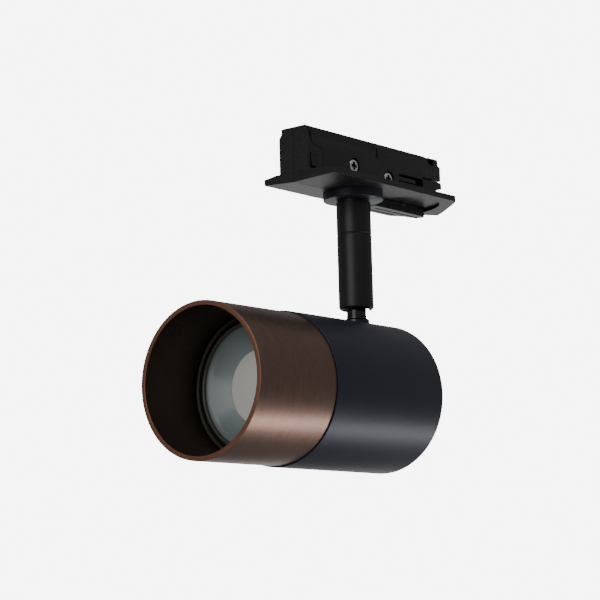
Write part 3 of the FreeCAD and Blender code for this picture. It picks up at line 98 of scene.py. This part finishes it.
# ---- node helpers -----------------------------------------------------------------------------
class Look:
    """A small wrapper that builds one Principled material."""

    def __init__(self, name, color, rough, metal=0.0, specular=0.5):
        self.mat = bpy.data.materials.new(name)
        self.mat.use_nodes = True
        self.tree = self.mat.node_tree
        self.nodes = self.tree.nodes
        self.shader = self.nodes["Principled BSDF"]
        self.shader.inputs["Base Color"].default_value = (*color, 1)
        self.shader.inputs["Roughness"].default_value = rough
        self.shader.inputs["Metallic"].default_value = metal
        self.shader.inputs["Specular IOR Level"].default_value = specular
        self.mat.diffuse_color = (*color, 1)

    def link(self, a, b):
        self.tree.links.new(a, b)

    def math(self, kind, a, b):
        node = self.nodes.new("ShaderNodeMath")
        node.operation = kind
        for slot, value in zip(node.inputs, (a, b)):
            if hasattr(value, "is_output"):
                self.link(value, slot)
            else:
                slot.default_value = value
        return node.outputs[0]

    def place(self):
        """Where a point is in the piece's own frame."""
        return self.nodes.new("ShaderNodeTexCoord").outputs["Object"]

    def noise(self, scale, stretch=(1, 1, 1), detail=2.0, rough=0.5):
        """Noise with scale features per metre, multiplied along each axis by stretch."""
        place = self.place()
        mapping = self.nodes.new("ShaderNodeMapping")
        mapping.inputs["Scale"].default_value = [scale * s for s in stretch]
        tex = self.nodes.new("ShaderNodeTexNoise")
        tex.inputs["Scale"].default_value = 1.0
        tex.inputs["Detail"].default_value = detail
        tex.inputs["Roughness"].default_value = rough
        self.link(place, mapping.inputs["Vector"])
        self.link(mapping.outputs["Vector"], tex.inputs["Vector"])
        return tex.outputs["Fac"]

    def ramp(self, source, low, high, out_low=0.0, out_high=1.0):
        """Maps low to high onto out_low to out_high, held at both ends."""
        node = self.nodes.new("ShaderNodeMapRange")
        node.inputs["From Min"].default_value = low
        node.inputs["From Max"].default_value = high
        node.inputs["To Min"].default_value = out_low
        node.inputs["To Max"].default_value = out_high
        self.link(source, node.inputs["Value"])
        return node.outputs["Result"]

    def tint(self, source, other, amount=1.0):
        """Mixes the base colour towards another colour where source is high."""
        mix = self.nodes.new("ShaderNodeMix")
        mix.data_type = "RGBA"
        factor = self.math("MULTIPLY", source, amount)
        self.link(factor, mix.inputs["Factor"])
        held = self.shader.inputs["Base Color"]
        if held.is_linked:
            self.link(held.links[0].from_socket, mix.inputs[6])
        else:
            mix.inputs[6].default_value = held.default_value
        mix.inputs[7].default_value = (*other, 1)
        self.link(mix.outputs[2], held)
        return self

    def vary_roughness(self, source, low, high):
        self.link(self.ramp(source, 0.3, 0.7, low, high), self.shader.inputs["Roughness"])
        return self

    def bump(self, source, depth_mm, strength):
        node = self.nodes.new("ShaderNodeBump")
        node.inputs["Strength"].default_value = strength
        node.inputs["Distance"].default_value = depth_mm * MM
        self.link(source, node.inputs["Height"])
        self.link(node.outputs["Normal"], self.shader.inputs["Normal"])
        return self


def shade(color, factor):
    """The colour made lighter or darker, no channel above 1."""
    return tuple(min(1, c * factor) for c in color)


def edge_wear(look, color, amount, patch_low=0.40, patch_high=0.62):
    """Lightens convex edges a little, in patches, as handling does."""
    geometry = look.nodes.new("ShaderNodeNewGeometry")
    worn = look.ramp(geometry.outputs["Pointiness"], 0.52, 0.60)
    patches = look.ramp(look.noise(900, detail=4), patch_low, patch_high)
    look.tint(look.math("MULTIPLY", worn, patches), color, amount)
    return look


# ---- materials --------------------------------------------------------------------------------
def bronze_look():
    """Anodised aluminium, brushed round the tube in short fine streaks."""
    look = Look("bronze", (0.200, 0.124, 0.096), 0.36, metal=1.0)
    lines = look.noise(1.0, (4200, 260, 260), detail=4, rough=0.65)
    broad = look.noise(1.0, (900, 60, 60), detail=2)
    look.tint(look.ramp(lines, 0.40, 0.66), (0.285, 0.185, 0.150), 0.55)
    look.tint(look.ramp(broad, 0.45, 0.75), (0.165, 0.098, 0.074), 0.25)
    look.vary_roughness(lines, 0.30, 0.44)
    return look.bump(lines, 0.010, 0.5)


def bronze_rim_look():
    """The snoot's cut front edge: brighter, with a few worn specks."""
    look = Look("bronze_rim", (0.330, 0.165, 0.105), 0.40, metal=1.0)
    return edge_wear(look, (0.95, 0.88, 0.80), 0.9, 0.62, 0.68)


def bronze_inside_look():
    """The snoot's inside: the bronze darkened as painted shade, with long streaks round the bore."""
    look = Look("bronze_inside_shaded", (0.040, 0.025, 0.016), 0.42, metal=0.6)
    lines = look.noise(1.0, (5000, 40, 40), detail=3, rough=0.6)
    look.tint(look.ramp(lines, 0.35, 0.75), (0.060, 0.038, 0.025), 0.6)
    return look.bump(lines, 0.008, 0.4)


def paint_look(name, color, rough, sheen=(1, 1, 1)):
    """Fine-grained paint. The sheen tints its highlights."""
    look = Look(name, color, rough)
    grain = look.noise(3800, detail=3, rough=0.6)
    cloud = look.noise(60, detail=2)
    look.tint(look.ramp(cloud, 0.35, 0.7), shade(color, 1.25), 0.5)
    look.vary_roughness(grain, rough - 0.05, rough + 0.06)
    look.shader.inputs["Specular Tint"].default_value = (*sheen, 1)
    return look.bump(grain, 0.012, 0.5)


def plastic_look(name, color, rough):
    """Moulded plastic with a fine texture."""
    look = Look(name, color, rough)
    grain = look.noise(2600, detail=4, rough=0.65)
    cloud = look.noise(90, detail=2)
    look.tint(look.ramp(cloud, 0.35, 0.7), shade(color, 1.4), 0.4)
    look.vary_roughness(grain, rough - 0.06, rough + 0.08)
    return look.bump(grain, 0.02, 0.5)


def metal_look(name, color, rough):
    """Bare metal with faint darker clouds."""
    look = Look(name, color, rough, metal=1.0)
    cloud = look.noise(900, detail=4, rough=0.6)
    look.tint(look.ramp(cloud, 0.45, 0.75), shade(color, 0.7), 0.5)
    look.vary_roughness(cloud, rough - 0.06, rough + 0.08)
    return look.bump(cloud, 0.006, 0.4)


def screw_look():
    """Bright heads, with black painted shade in the cross slot and round the sides."""
    look = metal_look("screw_steel", (0.88, 0.88, 0.88), 0.24)
    split = look.nodes.new("ShaderNodeSeparateXYZ")
    look.link(look.place(), split.inputs[0])
    face, slot = SCREW_FACE
    # Points deeper than the head's face are painted black: painted shade in the slot and round the sides.
    painted_slot_shade = look.ramp(split.outputs["Y"], face * MM, slot * MM)
    return look.tint(painted_slot_shade, (0.008, 0.008, 0.008))


def lens_look():
    """Frosted plastic: a cool cone round a paler, warmer disc."""
    look = Look("frosted_lens", (0.17, 0.22, 0.215), 0.30)
    offset = look.nodes.new("ShaderNodeVectorMath")
    offset.operation = "SUBTRACT"
    offset.inputs[1].default_value = (0, 0, HEAD_Z)
    flat = look.nodes.new("ShaderNodeVectorMath")
    flat.operation = "MULTIPLY"
    flat.inputs[1].default_value = (0, 1, 1)
    length = look.nodes.new("ShaderNodeVectorMath")
    length.operation = "LENGTH"
    look.link(look.place(), offset.inputs[0])
    look.link(offset.outputs[0], flat.inputs[0])
    look.link(flat.outputs[0], length.inputs[0])
    radius = length.outputs["Value"]
    for (start, end), color in ((LENS_CONE, (0.34, 0.40, 0.39)), (LENS_DISC, (0.95, 0.94, 0.87))):
        look.tint(look.ramp(radius, start * MM, end * MM), color)
    look.shader.inputs["Coat Weight"].default_value = 0.3
    look.shader.inputs["Coat Roughness"].default_value = 0.15
    return look.bump(look.noise(2400, detail=4, rough=0.6), 0.006, 0.4)


def rubber_look():
    look = Look("rubber", (0.012, 0.012, 0.012), 0.65)
    return look.bump(look.noise(2000, detail=3), 0.01, 0.5)


def make_looks():
    """Every look, under the name of its material slot or, where the CAD has none, its own."""
    worn = (0.04, 0.04, 0.04)
    return {
        "housing": edge_wear(plastic_look("housing_plastic", (0.0058, 0.0054, 0.0070), 0.42), worn, 0.35),
        "lever_plastic": edge_wear(plastic_look("lever_plastic", (0.006, 0.006, 0.0065), 0.38), worn, 0.35),
        "black_paint": paint_look("black_paint", (0.0115, 0.0115, 0.0200), 0.42, (0.80, 0.84, 1.0)),
        "stem_paint": paint_look("stem_paint", (0.0042, 0.0040, 0.0048), 0.40),
        "bronze": bronze_look(),
        "bronze_rim": bronze_rim_look(),
        "bronze_inside_shaded": bronze_inside_look(),
        "bright_steel": metal_look("bright_steel", (0.80, 0.80, 0.80), 0.26),
        "screw_steel": screw_look(),
        "dark_steel": metal_look("dark_steel", (0.060, 0.060, 0.064), 0.20),
        "contact_brass": metal_look("contact_brass", (0.72, 0.52, 0.22), 0.28),
        "inner_plastic": plastic_look("inner_plastic", (0.55, 0.55, 0.52), 0.45),
        "wire_cover": plastic_look("wire_cover", (0.03, 0.03, 0.03), 0.42),
        "friction_nylon": plastic_look("friction_nylon", (0.02, 0.02, 0.02), 0.5),
        "sleeve": plastic_look("sleeve", (0.050, 0.048, 0.036), 0.30),
        "o_ring_rubber": rubber_look(),
        "lamp_body": paint_look("lamp_body", (0.30, 0.31, 0.30), 0.38),
        "bezel_rim": paint_look("bezel_rim", (0.075, 0.076, 0.062), 0.28),
        "lens": lens_look(),
        "reflector": metal_look("reflector", (0.85, 0.85, 0.85), 0.15),
        "led_board": plastic_look("led_board", (0.75, 0.74, 0.66), 0.5),
        "steatite": plastic_look("steatite", (0.72, 0.69, 0.62), 0.55),
    }


# ---- mesh helpers -----------------------------------------------------------------------------
def link_object(name, mesh):
    piece = bpy.data.objects.new(name, mesh)
    bpy.context.scene.collection.objects.link(piece)
    return piece


def rounded(points):
    """Rounds each corner of a closed outline of (x, y, corner rounding)."""
    result = []
    count = len(points)
    for i, point in enumerate(points):
        here = Vector(point[:2])
        before = Vector(points[i - 1][:2]) - here
        after = Vector(points[(i + 1) % count][:2]) - here
        r = point[2]
        room = 0.45 * min(before.length, after.length)
        turn = before.angle(after)
        if r <= 0 or turn > math.radians(176):
            result.append(here)
            continue
        set_back = min(r / math.tan(turn / 2), room)
        a = here + before.normalized() * set_back
        b = here + after.normalized() * set_back
        for k in range(CORNER_STEPS + 1):
            t = k / CORNER_STEPS
            result.append(a * (1 - t) ** 2 + here * 2 * t * (1 - t) + b * t ** 2)
    return result


def lathe(name, outline, along, centre, body, look, replaced):
    """Turns a closed outline about the axis through centre, in place of the CAD node replaced."""
    bm = bmesh.new()
    axis = Vector(along)
    side = axis.orthogonal().normalized()
    other = axis.cross(side)
    rings = []
    for a, r in rounded(outline):
        ring = []
        for k in range(TURN_STEPS):
            angle = 2 * math.pi * k / TURN_STEPS
            ring.append(bm.verts.new((axis * a + (side * math.cos(angle) + other * math.sin(angle)) * r) * MM))
        rings.append(ring)
    for p, q in zip(rings, rings[1:] + rings[:1]):
        for k in range(TURN_STEPS):
            n = (k + 1) % TURN_STEPS
            bm.faces.new((p[k], p[n], q[n], q[k]))
    bmesh.ops.recalc_face_normals(bm, faces=bm.faces)
    mesh = bpy.data.meshes.new(name)
    bm.to_mesh(mesh)
    bm.free()
    mesh.shade_smooth()
    mesh.materials.append(look.mat)
    piece = link_object(name, mesh)
    piece.location = [c * MM for c in centre]
    keep_sharp(piece)
    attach(piece, body)
    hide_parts(replaced)
    return piece


def keep_sharp(piece):
    """Splits the shading at the piece's sharp edges."""
    limit = math.radians(TURNED_SHARP)
    bm = bmesh.new()
    bm.from_mesh(piece.data)
    for edge in bm.edges:
        edge.smooth = len(edge.link_faces) == 2 and edge.calc_face_angle(0) < limit
    bm.to_mesh(piece.data)
    bm.free()


# ---- CAD nodes that stay ----------------------------------------------------------------------
def finish_cad_nodes(looks):
    """Gives every CAD node its material and smooth curves, and the nodes with moulded edges small rounded
    edges.
    """
    for part in frame["record"]["subparts"]:
        name = part["node"]
        node = frame["nodes"][name]
        look = looks[OTHER_LOOKS.get(name, part["material_slot"])]
        node.data.materials.clear()
        node.data.materials.append(look.mat)
        node.data.shade_smooth()
        weld = node.modifiers.new("weld", "WELD")
        weld.merge_threshold = 0.005 * MM
        if name in BEVELLED:
            merge = node.modifiers.new("merge_flats", "DECIMATE")
            merge.decimate_type = "DISSOLVE"
            merge.angle_limit = math.radians(0.4)
            bevel = node.modifiers.new("bevel", "BEVEL")
            bevel.width = BEVELLED[name] * MM
            bevel.segments = 2
            bevel.limit_method = "ANGLE"
            bevel.angle_limit = math.radians(NODE_SHARP)
            normals = node.modifiers.new("flat_normals", "WEIGHTED_NORMAL")
            normals.weight = 100
        else:
            smooth = node.modifiers.new("split", "EDGE_SPLIT")
            smooth.split_angle = math.radians(NODE_SHARP)


# ---- turned pieces ----------------------------------------------------------------------------
def turned_pieces(looks):
    """The round pieces that show most, as finer shells in place of their CAD nodes."""
    lathe("head_tube_turned", HEAD_OUTLINE, ALONG_HEAD, HEAD_AXIS, "head", looks["black_paint"],
          "head_tube")
    snoot = lathe("snoot_turned", SNOOT_OUTLINE, ALONG_HEAD, HEAD_AXIS, "snoot_shell", looks["bronze"],
                  "snoot")
    split_snoot(snoot, looks)
    lathe("stem_collar_turned", COLLAR_OUTLINE, ALONG_STEM, (0, 0, 0), "adapter", looks["stem_paint"],
          "stem_collar")
    lathe("lamp_bezel_turned", BEZEL_OUTLINE, ALONG_HEAD, HEAD_AXIS, "lamp", looks["bezel_rim"],
          "lamp_bezel")


def split_snoot(snoot, looks):
    """Gives the snoot's inside its bronze darkened as painted shade, and its front rim a look of its own."""
    snoot.data.materials.append(looks["bronze_inside_shaded"].mat)
    snoot.data.materials.append(looks["bronze_rim"].mat)
    for face in snoot.data.polygons:
        outward = Vector((0, face.center.y, face.center.z))
        # Inward faces inside the bore get the bronze darkened as painted shade.
        if face.normal.dot(outward) < 0 and outward.length < SNOOT_INSIDE_R * MM:
            face.material_index = 1
        if face.center.x < SNOOT_RIM_X * MM:
            face.material_index = 2


# ---- stage, lights, camera --------------------------------------------------------------------
def make_stage():
    bm = bmesh.new()
    bmesh.ops.create_grid(bm, x_segments=1, y_segments=1, size=6.0)
    mesh = bpy.data.meshes.new("floor")
    bm.to_mesh(mesh)
    bm.free()
    floor = link_object("floor", mesh)
    floor.location = (0, 0, FLOOR_Z)
    look = Look("floor_paint", (0.85, 0.85, 0.85), 0.9, specular=0.1)
    look.shader.inputs["Emission Color"].default_value = (1, 1, 1, 1)
    path = look.nodes.new("ShaderNodeLightPath")
    glow = look.math("MULTIPLY", path.outputs["Is Camera Ray"], FLOOR_GLOW)
    look.link(glow, look.shader.inputs["Emission Strength"])
    mesh.materials.append(look.mat)


def make_world():
    """A white background for the camera, and a much weaker fill for the object."""
    world = bpy.data.worlds.new("studio")
    bpy.context.scene.world = world
    world.use_nodes = True
    nodes, links = world.node_tree.nodes, world.node_tree.links
    seen = nodes["Background"]
    seen.inputs["Color"].default_value = (1, 1, 1, 1)
    seen.inputs["Strength"].default_value = BACKGROUND
    fill = nodes.new("ShaderNodeBackground")
    fill.inputs["Color"].default_value = FILL_COLOR
    fill.inputs["Strength"].default_value = FILL
    path = nodes.new("ShaderNodeLightPath")
    mix = nodes.new("ShaderNodeMixShader")
    links.new(path.outputs["Is Camera Ray"], mix.inputs["Fac"])
    links.new(fill.outputs[0], mix.inputs[1])
    links.new(seen.outputs[0], mix.inputs[2])
    links.new(mix.outputs[0], nodes["World Output"].inputs["Surface"])


def area_light(name, place, target, size, watts):
    lamp = bpy.data.lights.new(name, "AREA")
    lamp.shape = "RECTANGLE"
    lamp.size, lamp.size_y = size
    lamp.energy = watts
    holder = bpy.data.objects.new(name, lamp)
    bpy.context.scene.collection.objects.link(holder)
    holder.location = place
    holder.rotation_euler = (Vector(target) - Vector(place)).to_track_quat("-Z", "Y").to_euler()
    return holder


def make_lights():
    middle = (-0.03, 0, HEAD_Z)
    strip = area_light("low_strip", (0.45, -0.20, -0.393), middle, (0.7, 0.08), 1.4)
    # The strip lies along the head, so that its highlight runs the length of the tube.
    facing = Vector((0, -0.20, -0.3055)).normalized()
    along = Vector(ALONG_HEAD)
    strip.rotation_euler = Matrix((along, facing.cross(along), facing)).transposed().to_euler()
    area_light("top_soft", (-0.2, -0.5, 0.8), middle, (0.8, 0.8), 3.5)
    area_light("left_soft", (-0.9, -0.1, 0.1), middle, (0.6, 0.6), 2.0)
    area_light("backdrop", (0.80, 0.66, -0.22), (0, 0, -0.03), (1.2, 0.5), 1.6)


def make_camera():
    yaw, pitch, roll = (math.radians(a) for a in (39.51, 9.0, -1.45))
    ahead = Vector((math.cos(pitch) * math.cos(yaw), math.cos(pitch) * math.sin(yaw), math.sin(pitch)))
    level = Vector((math.sin(yaw), -math.cos(yaw), 0))
    upright = level.cross(ahead)
    right = level * math.cos(roll) + upright * math.sin(roll)
    up = upright * math.cos(roll) - level * math.sin(roll)
    data = bpy.data.cameras.new("camera")
    data.sensor_width = 36.0
    data.lens = 117.9
    data.clip_start = 0.01
    camera = bpy.data.objects.new("camera", data)
    bpy.context.scene.collection.objects.link(camera)
    rotation = Matrix((right, up, -ahead)).transposed().to_4x4()
    camera.matrix_world = Matrix.Translation((-0.61918, -0.48122, -0.17153)) @ rotation
    bpy.context.scene.camera = camera


def main():
    looks = make_looks()
    finish_cad_nodes(looks)
    turned_pieces(looks)
    make_stage()
    make_world()
    make_lights()
    make_camera()


main()
